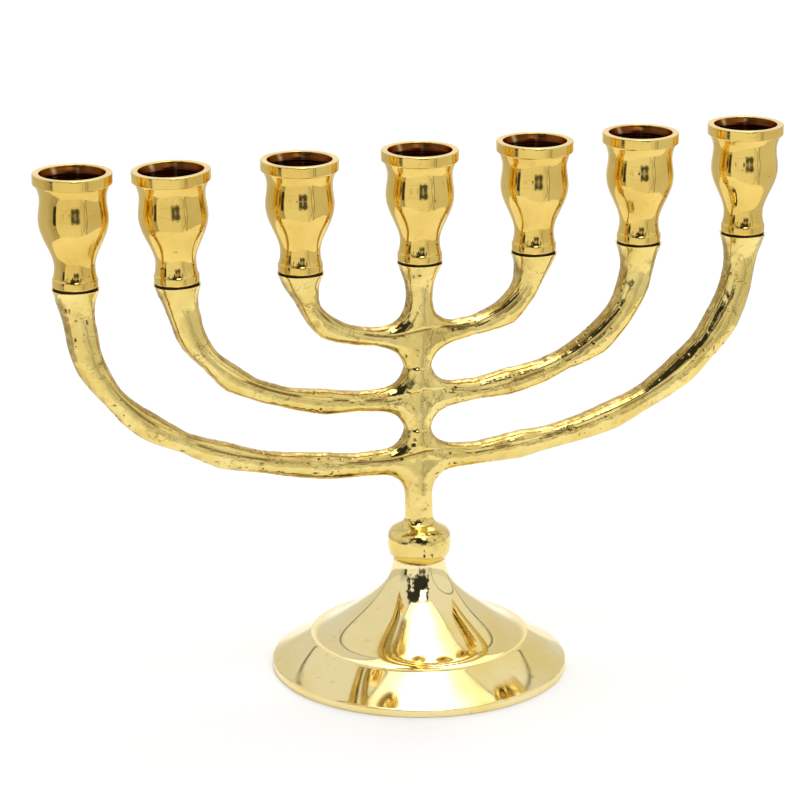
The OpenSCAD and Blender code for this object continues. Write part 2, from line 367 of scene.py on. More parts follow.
def dark_joint(name):
    """Old polish and tarnish packed into a joint."""
    n = Nodes(name)
    dirt = n.noise(700.0, 4.0)
    colour = n.mix(n.grey(dirt, 0.4, 0.65), DIRT_DARK, DIRT_BROWN)
    return n.finish(colour, n.grey(dirt, 0.3, 0.7, 0.55, 0.8), n.bump(dirt, 0.00008, 0.5), metallic=0.6)


def machined_brass(name):
    """Dull machined brass of the studs, nut and washer, and of the base's turned inside."""
    n = Nodes(name)
    clouds = n.noise(300.0, 4.0)
    colour = n.mix(n.grey(clouds, 0.4, 0.7), SCREW_BRASS, SCREW_DULL)
    marks = n.noise(2600.0, 2.0, stretch=(0.1, 0.1, 1))
    return n.finish(colour, n.grey(clouds, 0.3, 0.7, 0.28, 0.45), n.bump(marks, 0.00003, 0.5))


# ------------------------------------------------------------------ cups

# the cup's radii and the heights where it bends, up from its foot
CUP = {
    "height": 39.5, "rim_r": 13.4, "rim_h": 3.6, "socket_r": 10.0, "socket_depth": 18.0,
    "mouth_r": 11.1, "foot_r": 7.7, "foot_h": 3.5, "neck_r": 6.9, "bulge_r": 11.85, "waist_r": 11.25,
    "neck_at": 7.6, "bulge_at": 24.0, "waist_at": 30.6, "hole_r": 2.58, "hole_depth": 8.0,
    "foot_tuck": 0.25, "rim_tuck": 0.7, "ring_depth": 0.035, "ring_pitch": 0.9,
}
# the slots of a cup's materials
OUTSIDE, INSIDE, JOINT = 0, 1, 2


def ease(t):
    """Starts and ends level, from 0 to 1."""
    return (1 - math.cos(math.pi * t)) / 2


def cup_body_radius(z):
    """Radius of the turned body between the foot ledge and the rim."""
    c = CUP
    high = c["height"] - c["rim_h"]
    if z < c["neck_at"]:
        t = (z - c["foot_h"]) / (c["neck_at"] - c["foot_h"])
        start = c["foot_r"] - c["foot_tuck"]
        return start + (c["neck_r"] - start) * math.sin(math.pi / 2 * t)
    if z < c["bulge_at"]:
        t = ((z - c["neck_at"]) / (c["bulge_at"] - c["neck_at"])) ** 0.92
        return c["neck_r"] + (c["bulge_r"] - c["neck_r"]) * ease(t)
    if z < c["waist_at"]:
        t = (z - c["bulge_at"]) / (c["waist_at"] - c["bulge_at"])
        return c["bulge_r"] + (c["waist_r"] - c["bulge_r"]) * ease(t)
    t = (z - c["waist_at"]) / (high - c["waist_at"])
    return c["waist_r"] + (c["rim_r"] - c["rim_tuck"] - c["waist_r"]) * (1 - math.cos(math.pi / 2 * t))


def cup_rows():
    """The cup's outline, from the bottom of the socket out over the rim and back to the screw hole."""
    c = CUP
    top, high = c["height"], c["height"] - c["rim_h"]
    ledge = c["foot_h"] - 0.15
    edge, bevel, seam = 0.3, 0.3, 0.85
    floor_z = top - c["socket_depth"]
    tip_z = floor_z - c["socket_r"] * 0.6
    rows = [(0, tip_z, INSIDE)]
    rows += [(r, z, INSIDE) for r, z in along((0, tip_z), (c["socket_r"] - 0.8, floor_z - 0.5), 10)]
    rows += [(r, z, INSIDE) for r, z in arc((c["socket_r"] - 1.2, floor_z + 0.6), 1.2, -50, 0, 5)]
    wall = np.arange(floor_z + 1.0, top - 2.3, 0.225)
    rows += [(c["socket_r"] + c["ring_depth"] * math.sin(2 * math.pi * z / c["ring_pitch"]), z, INSIDE)
             for z in wall]
    rows += [(r, z, INSIDE) for r, z in along((c["socket_r"], top - 2.1), (c["mouth_r"], top - 0.3), 4)]
    rows += [(c["mouth_r"], top - 0.22, INSIDE), (c["mouth_r"] + 0.03, top - 0.08, OUTSIDE)]
    rows += [(c["mouth_r"] + 0.08, top - 0.03, OUTSIDE), (c["mouth_r"] + 0.15, top, OUTSIDE)]
    rows += [(r, z, OUTSIDE) for r, z in along((c["mouth_r"] + 0.2, top), (c["rim_r"] - edge, top), 4)]
    rows += [(r, z, OUTSIDE) for r, z in arc((c["rim_r"] - edge, top - edge), edge, 90, 0, 6)]
    rows += [(c["rim_r"], z, OUTSIDE) for z in np.linspace(top - edge, high + edge, 8)[1:-1]]
    rows += [(r, z, OUTSIDE) for r, z in arc((c["rim_r"] - edge, high + edge), edge, 0, -70, 5)]
    heights = np.linspace(high - 0.05, c["foot_h"] + 0.15, 70)
    rows += [(cup_body_radius(min(z, high)), z, OUTSIDE) for z in heights]
    rows += [(c["foot_r"] - 0.08, c["foot_h"] - 0.02, OUTSIDE), (c["foot_r"], ledge, OUTSIDE)]
    rows += [(c["foot_r"] + 0.04 * math.sin(math.pi * t), ledge - t * (ledge - seam), OUTSIDE)
             for t in np.linspace(0.1, 1, 7)]
    rows += [(c["foot_r"] - 0.14, seam - 0.08, JOINT), (c["foot_r"] - 0.16, bevel * 0.6, JOINT)]
    rows += [(c["foot_r"] - bevel, 0.05, JOINT), (c["foot_r"] - bevel - 0.1, 0, JOINT)]
    rows += [(r, 0, JOINT) for r in np.linspace(c["foot_r"] - 1.0, c["hole_r"] + 0.5, 5)]
    rows += [(c["hole_r"], 0.5, JOINT)]
    rows += [(c["hole_r"], z, JOINT) for z in np.linspace(1, c["hole_depth"], 8)]
    rows += [(0, c["hole_depth"] + 1.5, JOINT)]
    return rows


def paint_socket_highlights(piece, axis, seat):
    """Paints two upright bright streaks on the socket's back wall: painted highlights that stand in for
    reflected light.
    """
    points = np.empty(len(piece.data.vertices) * 3)
    piece.data.vertices.foreach_get("co", points)
    away = points.reshape(-1, 3) / MM - np.array(seat)
    away -= np.outer(away @ np.array(axis), axis)
    angle = np.degrees(np.arctan2(away[:, 0], away[:, 1]))
    # painted highlight: two streaks at fixed directions round the axis, the same on every cup
    painted_streak = np.exp(-((angle + 22) / 4.5) ** 2) + 0.5 * np.exp(-((angle - 24) / 3) ** 2)
    attribute = piece.data.attributes.new("painted_streak", "FLOAT", "POINT")
    attribute.data.foreach_set("value", painted_streak.astype(np.float32))


def make_cup(place, materials):
    """One turned cup, standing on its seat and leaning as its axis does."""
    piece = lathe("shell_" + place, cup_rows(), 160, materials)
    turn = Vector((0, 0, 1)).rotation_difference(cup_axis(place)).to_matrix().to_4x4()
    spin = Matrix.Rotation(0.9 * PLACES.index(place), 4, "Z")
    piece.data.transform(Matrix.Translation(seat_point(place) * MM) @ turn @ spin)
    paint_socket_highlights(piece, cup_axis(place), seat_point(place))
    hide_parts("cup_" + place)
    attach(piece, "holder_" + place)
    return piece


# ------------------------------------------------------------------ studs

# a thread's depth in pitches, the heights between rows, and the bevel on a stud's ends
THREAD = {"depth": 0.55, "row": 0.08, "bevel_h": 0.5, "bevel_slope": 0.9}
CUP_PITCH = 0.8
BASE_PITCH = 1.25
ARM_THREAD = 8.5  # how deep a cup's stud stands in its arm


def thread_shape(pitch, depth):
    """A radius function that cuts a helical thread of the given pitch and depth."""
    def radius_at(r, z, angles):
        phase = (z / pitch - angles / (2 * math.pi)) % 1.0
        groove = np.clip(np.abs(phase - 0.5) * 2.6 - 0.25, 0, 1)
        return r - depth * groove
    return radius_at


def make_stud(name, node, place, axis, pitch, body, material):
    """A threaded rod of the CAD node's length and radius, from its lower end at place."""
    low, high = node_box(node)
    length = (high[2] - low[2] - (high[1] - low[1]) * abs(axis.x)) / axis.z
    radius = (high[1] - low[1]) / 2
    rows = [(0, 0, 0), (radius * 0.5, 0, 0), (radius * 0.8, 0.02, 0)]
    for z in np.arange(0.1, length - 0.05, THREAD["row"]):
        past = max(0, THREAD["bevel_h"] - z, z - length + THREAD["bevel_h"])
        rows.append((radius - past * THREAD["bevel_slope"], z, 0))
    rows += [(radius * 0.8, length - 0.02, 0), (radius * 0.5, length, 0), (0, length, 0)]
    piece = lathe(name, rows, 72, [material], thread_shape(pitch, pitch * THREAD["depth"]))
    turn = Vector((0, 0, 1)).rotation_difference(axis).to_matrix().to_4x4()
    piece.data.transform(Matrix.Translation(place * MM) @ turn)
    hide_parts(node)
    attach(piece, body)
    return piece


# ------------------------------------------------------------------ base

# the foot's radii and heights, the slopes of its upper flare, and the knee of its lower one
BASE = {
    "rim_r": 51.98, "lip": 2.6, "step_r": 38.5, "step_z": 12.0, "drop": 0.6, "neck_r": 9.2, "neck_z": 40.0,
    "wall": 2.2, "boss_r": 9.3, "boss_z": 30.0, "hole_r": 4.08,
    "cone_slope": 0.74, "edge_slope": 0.1, "edge_fade": 4.5, "neck_bend": 10, "flare_over": 0.2,
    "knee_out": 6, "knee_up": 3.9, "step_under": 0.3,
}


def cone_rise(d):
    """Height gained over a distance inwards from the step edge: gentle at first, then the cone's slope."""
    b = BASE
    gentle = (b["cone_slope"] - b["edge_slope"]) * b["edge_fade"] * (1 - math.exp(-d / b["edge_fade"]))
    return b["cone_slope"] * d - gentle


def flare_point(t):
    """The upper flare, from the neck at 0 to the step edge at 1."""
    b = BASE
    u = 1 - t * t
    width = b["step_r"] - b["neck_r"]
    rise = b["neck_z"] + b["flare_over"] - b["step_z"] - cone_rise(width)
    bend = 1 - (1 - u ** b["neck_bend"]) ** 0.5
    return b["step_r"] - width * u, b["step_z"] + cone_rise(width * u) + rise * bend


def low_flare_point(t):
    """The lower flare, from under the step edge at 0 to the top of the lip at 1."""
    b = BASE
    top = (b["step_r"] - b["step_under"], b["step_z"] - b["drop"])
    knee = (b["step_r"] + b["knee_out"], b["lip"] + b["knee_up"])
    rim = (b["rim_r"], b["lip"])
    return tuple((1 - t) ** 2 * top[i] + 2 * t * (1 - t) * knee[i] + t * t * rim[i] for i in (0, 1))


def inset(points, d):
    """A curve moved inwards by d, square to itself."""
    p = np.array(points)
    way = np.gradient(p, axis=0)
    way /= np.linalg.norm(way, axis=1)[:, None]
    return p + d * np.c_[way[:, 1], -way[:, 0]]


def base_rows():
    """The base's outline: up the screw hole, down the outside, and back under the flares and the boss."""
    b = BASE
    upper = [flare_point(t) for t in np.linspace(0.01, 1, 110)]
    upper = [p for p in upper if p[1] < b["neck_z"] - 0.35]
    lower = [low_flare_point(t) for t in np.linspace(0, 1, 40)]
    under_upper = [p for p in inset(upper, b["wall"])
                   if b["boss_r"] + 0.1 < p[0] < b["step_r"] - 3 and p[1] < b["boss_z"]]
    under_lower = [p for p in inset(lower, b["wall"]) if b["step_r"] < p[0] < b["rim_r"] - b["wall"]]
    rows = [(b["hole_r"], b["neck_z"] - 0.4, 1), (b["hole_r"] + 0.4, b["neck_z"], 1)]
    rows += [(r, b["neck_z"], 1) for r in np.linspace(5, b["neck_r"] - 0.4, 5)]
    rows += [(r, z, 0) for r, z in arc((b["neck_r"] - 0.35, b["neck_z"] - 0.35), 0.35, 80, 5, 4)]
    rows += [(r, z, 0) for r, z in upper[:-1]]
    rows += [(r, z, 0) for r, z in arc((b["step_r"] - 0.22, b["step_z"] - 0.12), 0.2, 68, -50, 6)]
    rows += [(b["step_r"] - 0.26, b["step_z"] - 0.45, 0), (b["step_r"] - 0.24, b["step_z"] - 0.68, 0)]
    rows += [(r, z, 0) for r, z in lower[1:-1]]
    rows += [(r, z, 0) for r, z in arc((b["rim_r"] - 0.3, b["lip"] - 0.25), 0.3, 65, 0, 4)]
    rows += [(b["rim_r"], z, 0) for z in np.linspace(b["lip"] - 0.5, 0.4, 5)]
    rows += [(r, z, 0) for r, z in arc((b["rim_r"] - 0.3, 0.3), 0.3, -20, -90, 4)]
    rows += [(b["rim_r"] - b["wall"] + 0.3, 0, 1), (b["rim_r"] - b["wall"], 0.3, 1)]
    rows += [(r, z, 1) for r, z in list(under_lower)[::-1]]
    rows += [(r, z, 1) for r, z in list(under_upper)[::-1]]
    rows += [(b["boss_r"], b["boss_z"] - 0.2, 1), (b["boss_r"] - 0.4, b["boss_z"], 1)]
    rows += [(r, b["boss_z"], 1) for r in np.linspace(b["boss_r"] - 1, b["hole_r"] + 0.5, 4)]
    rows += [(b["hole_r"], b["boss_z"] + 0.4, 1)]
    rows += [(b["hole_r"], z, 1) for z in np.linspace(b["boss_z"] + 1, b["neck_z"] - 1, 5)]
    return rows


def make_base(materials):
    """The turned foot, polished outside and machined inside."""
    piece = lathe("base_shell", base_rows(), 256, materials)
    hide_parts("base")
    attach(piece, "base")
    return piece


# ------------------------------------------------------------------ casting

# An arm: the height where it leaves the stem, and stations along it from 0 at the stem to 1 at the seat:
# (share of the length, inner face, outer face), as distances from the sweep's centre line.
ARM_POWER = 2.4
ARMS = {
    "left_outer": (76.2, [
        (0.08, 4.4, 4.5), (0.15, 3.7, 4.4), (0.22, 4.4, 5.0), (0.35, 3.6, 3.9), (0.45, 4.4, 4.9),
        (0.54, 3.8, 3.5), (0.64, 4.5, 5.1), (0.74, 3.4, 4.0), (0.82, 4.4, 5.5), (0.90, 5.6, 5.1),
        (1.0, 5.6, 5.3)
    ]),
    "left_middle": (98.4, [
        (0.12, 4.6, 3.7), (0.20, 4.0, 3.2), (0.31, 4.5, 4.6), (0.46, 3.3, 3.8), (0.55, 3.4, 4.2),
        (0.62, 4.5, 4.8), (0.72, 4.6, 3.0), (0.80, 5.4, 4.0), (0.88, 6.4, 4.2), (1.0, 6.0, 5.0)
    ]),
    "left_inner": (120.6, [
        (0.15, 4.6, 3.6), (0.30, 3.7, 2.9), (0.45, 3.0, 3.6), (0.60, 3.3, 5.2), (0.74, 3.2, 3.8),
        (0.84, 4.2, 3.5), (1.0, 4.8, 4.8)
    ]),
    "right_inner": (120.6, [
        (0.15, 4.8, 3.4), (0.34, 4.0, 2.8), (0.46, 4.1, 3.8), (0.58, 4.2, 5.8), (0.70, 4.7, 4.6),
        (0.84, 5.4, 4.2), (1.0, 5.4, 5.2)
    ]),
    "right_middle": (98.4, [
        (0.12, 4.9, 3.6), (0.20, 4.4, 2.9), (0.31, 5.2, 4.1), (0.43, 4.2, 4.2), (0.51, 4.2, 3.5),
        (0.64, 4.9, 6.0), (0.75, 4.7, 5.3), (0.86, 5.5, 6.1), (1.0, 5.0, 5.2)
    ]),
    "right_outer": (76.2, [
        (0.08, 4.4, 4.4), (0.14, 3.5, 4.2), (0.24, 4.6, 5.2), (0.32, 3.6, 4.7), (0.46, 4.4, 6.0),
        (0.55, 4.2, 4.9), (0.65, 5.7, 5.9), (0.71, 5.4, 5.0), (0.80, 6.4, 6.2), (0.90, 5.9, 5.0),
        (1.0, 5.6, 5.0)
    ]),
}
ARM = {"depth": 3.9, "deeper": 0.9, "round": 2.25, "flares_past": 0.6}
STEM = {
    "thin": 4.55, "low": 5.0, "depth": 4.5, "lean": -0.9, "foot_z": 50, "flare_h": 12,
    "knop_r": 11.2, "knop_z": 46.1, "knop_h": 6.4, "knop_low": 7.8, "knop_round": 3.0,
}
TRUMPET = {"height": 14.0, "radius": 8.05}
# the crease along an arm's front and back: how far up the face it runs, how much lower that is near the
# stem, the step across it, and its groove
CREASE = {"height": 1.5, "lower": 2.1, "middle": 3.8, "near": 2.0, "far": 16.0,
          "step": 0.5, "groove": 0.3, "groove_w": 0.55}
FILLET = 10.5
KNOP_FILLET = 3.0
VOXEL = 0.45
OVERSHOOT = 3.0


def superellipse_path(seat, root, count=160):
    """Centre line of an arm from the stem to the seat and a little past it: points and length shares."""
    a = np.linspace(0, math.pi / 2, 600)
    x = seat.x * np.sin(a) ** (2 / ARM_POWER)
    z = seat.z - (seat.z - root) * np.cos(a) ** (2 / ARM_POWER)
    length = np.r_[0, np.cumsum(np.hypot(np.diff(x), np.diff(z)))]
    shares = np.linspace(0, 1, count)
    px, pz = np.interp(shares * length[-1], length, x), np.interp(shares * length[-1], length, z)
    px, pz = np.r_[px, seat.x], np.r_[pz, seat.z + OVERSHOOT]
    return px, pz, np.r_[shares, 1 + OVERSHOOT / length[-1]]


def nearest_on_path(path, X, Z):
    """For each grid point: share of the path's length, and signed distance from it."""
    px, pz, shares = path
    best = np.full(X.shape, 1e9)
    share = np.zeros(X.shape)
    side = np.zeros(X.shape)
    for i in range(len(px) - 1):
        dx, dz = px[i + 1] - px[i], pz[i + 1] - pz[i]
        span = dx * dx + dz * dz
        t = np.clip(((X - px[i]) * dx + (Z - pz[i]) * dz) / span, 0, 1)
        ox, oz = X - px[i] - t * dx, Z - pz[i] - t * dz
        d = ox * ox + oz * oz
        closer = d < best
        best = np.where(closer, d, best)
        share = np.where(closer, shares[i] + t * (shares[i + 1] - shares[i]), share)
        side = np.where(closer, np.sign(dx * oz - dz * ox), side)
    return share, side * np.sqrt(best)


def arm_fields(place, root, stations, X, Z):
    """One arm seen from the front: distance to its outline, its half width and half depth there, height
    over its crease, and how strong that crease is."""
    seat = seat_point(place)
    share, offset = nearest_on_path(superellipse_path(seat, root), X, Z)
    inward = offset * np.sign(seat.x)
    stops = np.array(stations)
    inner = np.interp(share, stops[:, 0], stops[:, 1])
    outer = np.interp(share, stops[:, 0], stops[:, 2])
    below = np.clip(seat.z - Z, 0, TRUMPET["height"]) / TRUMPET["height"]
    near_seat = (1 - below) ** 2 * (share > ARM["flares_past"])
    inner = inner + (TRUMPET["radius"] - inner) * near_seat
    outer = outer + (TRUMPET["radius"] - outer) * near_seat
    half = np.where(inward > 0, inner, outer)
    deep = ARM["depth"] + ARM["deeper"] * smoothstep(0.3, 0.9, share)
    deep = deep + (TRUMPET["radius"] - deep) * near_seat
    near_stem = smoothstep(CREASE["far"], CREASE["near"], np.abs(X - CREASE["middle"]))
    level = inward - CREASE["height"] - CREASE["lower"] * near_stem
    return np.abs(offset) - half, half, deep, level, smoothstep(0.88, 0.66, share)


def flat_fields(X, Z):
    """The casting seen from the front: distance to its outline, its half width and half depth there,
    height over the crease along the arm, and how strong that crease is."""
    nearest = [np.full(X.shape, 1e9)] * 5
    for place, (root, stations) in ARMS.items():
        found = arm_fields(place, root, stations, X, Z)
        closer = found[0] < nearest[0]
        nearest = [np.where(closer, new, old) for new, old in zip(found, nearest)]
    arm_d, width, depth, crease, creased = nearest
    seat = seat_point("centre")
    height = np.clip((Z - STEM["foot_z"]) / (seat.z - STEM["foot_z"]), 0, 1)
    lean = STEM["lean"] * np.sin(np.pi * height)
    thin = STEM["thin"] + (STEM["low"] - STEM["thin"]) * smoothstep(68, 52, Z)
    rise = (1 - np.clip(seat.z - Z, 0, STEM["flare_h"]) / STEM["flare_h"]) ** 2
    top = TRUMPET["radius"] - 0.1
    stem_half = thin + (top - thin) * rise
    stem_d = np.abs(X - lean) - stem_half
    blend = smoothstep(-FILLET, FILLET, stem_d - arm_d)
    width = stem_half + (width - stem_half) * blend
    stem_depth = STEM["depth"] + (top - STEM["depth"]) * rise
    depth = stem_depth + (depth - stem_depth) * blend
    return soft_min(arm_d, stem_d, FILLET), width, depth, crease, creased


def casting_field():
    """Signed field of the whole casting on a grid, negative inside; the grid's axes; and the crease line."""
    low, high = node_box("casting")
    margin = 2.0
    axes = [np.arange(low[i] - margin, high[i] + margin + OVERSHOOT * (i == 2), VOXEL) for i in range(3)]
    X, Z = np.meshgrid(axes[0], axes[2], indexing="ij")
    outline, width, depth, crease, creased = flat_fields(X, Z)
    across = np.clip(1 + outline / width, 0, None)
    flank = smoothstep(1.1, 0.7, across)
    groove = CREASE["groove"] * np.exp(-(crease / CREASE["groove_w"]) ** 2)
    depth = depth - (CREASE["step"] * smoothstep(0.35, -0.35, crease) + groove) * flank * creased
    power = ARM["round"]
    Y = axes[1][None, :, None]
    ratio = np.abs(Y) / depth[:, None, :]
    body = (across[:, None, :] ** power + ratio ** power) ** (1 / power) - 1
    body = body * np.minimum(width, depth)[:, None, :]
    rho = np.sqrt(axes[0][:, None, None] ** 2 + Y ** 2)
    z = axes[2][None, None, :]
    power = STEM["knop_round"]
    up = np.abs(z - STEM["knop_z"]) / np.where(z > STEM["knop_z"], STEM["knop_h"], STEM["knop_low"])
    knop = ((rho / STEM["knop_r"]) ** power + up ** power) ** (1 / power) - 1
    field = soft_min(body, knop * STEM["knop_h"], KNOP_FILLET)
    # where a dark line of painted shade is laid along the crease
    line = smoothstep(0.75, 0.15, np.abs(crease)) * creased
    return np.maximum(field, low[2] - z).astype(np.float32), axes, line


def surface_nets(field, axes):
    """A closed quad mesh of the field's zero surface."""
    origin = np.array([a[0] for a in axes])
    inside = field < 0
    nx, ny, nz = (n - 1 for n in field.shape)
    corner = [(i, j, k) for i in (0, 1) for j in (0, 1) for k in (0, 1)]
    count = np.zeros((nx, ny, nz), np.int8)
    for i, j, k in corner:
        count += inside[i:nx + i, j:ny + j, k:nz + k]
    cells = np.argwhere((count > 0) & (count < 8))
    index = np.full((nx, ny, nz), -1, np.int64)
    index[tuple(cells.T)] = np.arange(len(cells))
    values = np.stack([field[cells[:, 0] + i, cells[:, 1] + j, cells[:, 2] + k] for i, j, k in corner], 1)
    total, hits = np.zeros((len(cells), 3)), np.zeros(len(cells))
    for a in range(8):
        for b in range(a + 1, 8):
            if sum(p != q for p, q in zip(corner[a], corner[b])) != 1:
                continue
            va, vb = values[:, a], values[:, b]
            crossed = (va < 0) != (vb < 0)
            t = np.where(crossed, va / np.where(va == vb, 1, va - vb), 0)[:, None]
            point = np.array(corner[a]) * (1 - t) + np.array(corner[b]) * t
            total += point * crossed[:, None]
            hits += crossed
    vertices = origin + (cells + total / hits[:, None]) * VOXEL
    faces = []
    for axis in range(3):
        u, v = (axis + 1) % 3, (axis + 2) % 3
        first = [slice(None)] * 3
        second = [slice(None)] * 3
        first[axis], second[axis] = slice(0, -1), slice(1, None)
        a, b = inside[tuple(first)], inside[tuple(second)]
        edges = np.argwhere(a != b)
        edges = edges[(edges[:, u] > 0) & (edges[:, v] > 0) & (edges[:, u] < field.shape[u] - 1)
                      & (edges[:, v] < field.shape[v] - 1)]
        ring = []
        for du, dv in ((1, 1), (0, 1), (0, 0), (1, 0)):
            cell = edges.copy()
            cell[:, u] -= du
            cell[:, v] -= dv
            ring.append(index[tuple(cell.T)])
        quads = np.stack(ring, 1)
        flip = ~a[tuple(edges.T)]
        quads[flip] = quads[flip][:, ::-1]
        faces.append(quads)
    return vertices, np.concatenate(faces)


def sample(field, axes, points):
    """Trilinear samples of the field at points."""
    p = (points - np.array([a[0] for a in axes])) / VOXEL
    i = np.clip(np.floor(p).astype(int), 0, np.array(field.shape) - 2)
    t = p - i
    total = 0
    for dx in (0, 1):
        for dy in (0, 1):
            for dz in (0, 1):
                w = (t[:, 0] if dx else 1 - t[:, 0]) * (t[:, 1] if dy else 1 - t[:, 1])
                w = w * (t[:, 2] if dz else 1 - t[:, 2])
                total = total + w * field[i[:, 0] + dx, i[:, 1] + dy, i[:, 2] + dz]
    return total


def settle(vertices, field, axes):
    """Moves vertices onto the zero surface and gives their outward directions."""
    slopes = [g.astype(np.float32) for g in np.gradient(field, VOXEL)]
    for _ in range(3):
        g = np.stack([sample(s, axes, vertices) for s in slopes], 1)
        d = sample(field, axes, vertices)
        vertices = vertices - g * (d / np.maximum((g * g).sum(1), 0.05))[:, None]
    g = np.stack([sample(s, axes, vertices) for s in slopes], 1)
    return vertices, g / np.linalg.norm(g, axis=1)[:, None]


def flat_sample(values, axes, points):
    """Samples of a front-view grid at points."""
    x, z = (points[:, 0] - axes[0][0]) / VOXEL, (points[:, 2] - axes[2][0]) / VOXEL
    i = np.clip(np.floor(x).astype(int), 0, values.shape[0] - 2)
    k = np.clip(np.floor(z).astype(int), 0, values.shape[1] - 2)
    x, z = x - i, z - k
    low = values[i, k] * (1 - x) + values[i + 1, k] * x
    high = values[i, k + 1] * (1 - x) + values[i + 1, k + 1] * x
    return low * (1 - z) + high * z



# the heights and depths of what the foundry and the file left, in millimetres
FINISH = {"facet": 0.2, "dent": 0.1, "ripple": 0.045, "pit": 0.22, "mark": 0.1}


def hand_finish(vertices, normals, crease):
    """File facets, casting ripple, pits and file marks, as a push along the normal; also dirt in the pits
    and marks with painted shade in a dark line along the crease, painted shade along the arms' edges, and
    how far the handling lines reach."""
    facets = noise(vertices, 9.0, 3) * FINISH["facet"] + noise(vertices, 4.0, 5) * FINISH["dent"]
    ripple = noise(vertices, 1.8, 7) * FINISH["ripple"]
    fine = noise(vertices, 1.0, 11)
    patches = smoothstep(-0.1, 0.45, noise(vertices, 12.0, 13))
    pits = smoothstep(0.62, 0.85, fine) * patches
    facing = np.abs(normals[:, 1])
    high = smoothstep(55, 70, vertices[:, 2])
    edge = smoothstep(0.6, 0.25, facing) * high
    marked = smoothstep(-0.3, 0.3, noise(vertices, 14.0, 19))
    marks = smoothstep(0.15, 0.5, noise(vertices, 1.3, 17)) * marked * edge
    # painted shade: a dark line along the crease, on faces turned to the front and back
    line = crease * facing * high * smoothstep(-0.45, 0.1, noise(vertices, 6.0, 23))
    fade = smoothstep(0, 4, seat_point("centre").z - vertices[:, 2])
    push = (facets + ripple) * fade - FINISH["pit"] * pits - FINISH["mark"] * marks * fade
    # dirt in the pits and file marks, together with the crease's painted shade
    dirt_and_crease_shade = np.maximum(pits, np.maximum(0.95 * line, 0.6 * marks)) * fade
    # painted shade: darker where the surface turns away from front and back, along the arms' edges
    shade = smoothstep(0.88, 0.3, facing + 0.25 * noise(vertices, 3.0, 29)) * high * fade
    return vertices + normals * push[:, None], {"dirt_and_crease_shade": dirt_and_crease_shade, "shade": shade, "handled": high * fade}


def casting_cutters():
    """Solids that clear what stands above the seats, and drill the screw holes."""
    drill, clear, above = CUP["hole_r"], 12.0, 8
    pieces = []
    for place in PLACES:
        rows = [(0, -9.5, 0), (drill, -8.5, 0), (drill, -0.5, 0), (3.0, 0, 0), (clear, 0, 0)]
        rows += [(clear, above, 0), (0, above, 0)]
        cutter = lathe("cutter_" + place, rows, 64, [])
        turn = Vector((0, 0, 1)).rotation_difference(cup_axis(place)).to_matrix().to_4x4()
        cutter.data.transform(Matrix.Translation(seat_point(place) * MM) @ turn)
        pieces.append(cutter)
    low, _ = node_box("casting")
    drill = BASE["hole_r"]
    hole = lathe("cutter_base", [(0, -2, 0), (drill, -2, 0), (drill, 11, 0), (0, 12, 0)], 64, [])
    hole.data.transform(Matrix.Translation((0, 0, low[2] * MM)))
    return pieces + [hole]


def cut(piece, cutters):
    """Takes the cutters' shapes out of the piece."""
    for cutter in cutters:
        modifier = piece.modifiers.new("cut", "BOOLEAN")
        modifier.operation = "DIFFERENCE"
        modifier.solver = "EXACT"
        modifier.object = cutter
    bpy.context.view_layer.update()
    final = bpy.data.meshes.new_from_object(piece.evaluated_get(bpy.context.evaluated_depsgraph_get()))
    piece.modifiers.clear()
    piece.data = final
    for cutter in cutters:
        bpy.data.objects.remove(cutter)


def make_casting(materials):
    """The casting: a closed surface round its field, finished by hand, with its seats and holes cut."""
    field, axes, line = casting_field()
    vertices, faces = surface_nets(field, axes)
    vertices, normals = settle(vertices, field, axes)
    vertices, tones = hand_finish(vertices, normals, flat_sample(line, axes, vertices))
    piece = new_piece("casting_shape", vertices, faces.tolist(), None, materials)
    for name, values in tones.items():
        attribute = piece.data.attributes.new(name, "FLOAT", "POINT")
        attribute.data.foreach_set("value", values.astype(np.float32))
    cut(piece, casting_cutters())
    piece.data.polygons.foreach_set("use_smooth", np.ones(len(piece.data.polygons), bool))
    piece.data.set_sharp_from_angle(angle=math.radians(50))
    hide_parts("casting")
    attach(piece, "frame")
    return piece


# ------------------------------------------------------------------ stage, light and camera

# angles in degrees, lengths in metres but the lens in millimetres
CAMERA = {
    "azimuth": -19.24, "elevation": 17.25, "distance": 1.191, "lens": 154.3, "sensor": 36,
    "aim": (-0.0072, 0, 0.0984),
}


def make_camera():
    az, el = math.radians(CAMERA["azimuth"]), math.radians(CAMERA["elevation"])
    back = Vector((math.sin(az) * math.cos(el), -math.cos(az) * math.cos(el), math.sin(el)))
    data = bpy.data.cameras.new("camera")
    data.lens = CAMERA["lens"]
    data.sensor_width = CAMERA["sensor"]
    data.clip_end = 50
    camera = bpy.data.objects.new("camera", data)
    camera.location = Vector(CAMERA["aim"]) + back * CAMERA["distance"]
    camera.rotation_euler = back.to_track_quat("Z", "Y").to_euler()
    bpy.context.scene.collection.objects.link(camera)
    bpy.context.scene.camera = camera


# metres: the part of the floor that the metal mirrors, and the whole floor's radius
TABLE = {"half_x": 0.30, "half_y": 0.19, "power": 3.0}
FLOOR_RADIUS = 6


def floor_material(name):
    n = Nodes(name)
    colour = n.mix(n.grey(n.noise(3.0), 0.3, 0.7), PAPER_SHADE, PAPER)
    return n.finish(colour, 0.9, metallic=0.0)


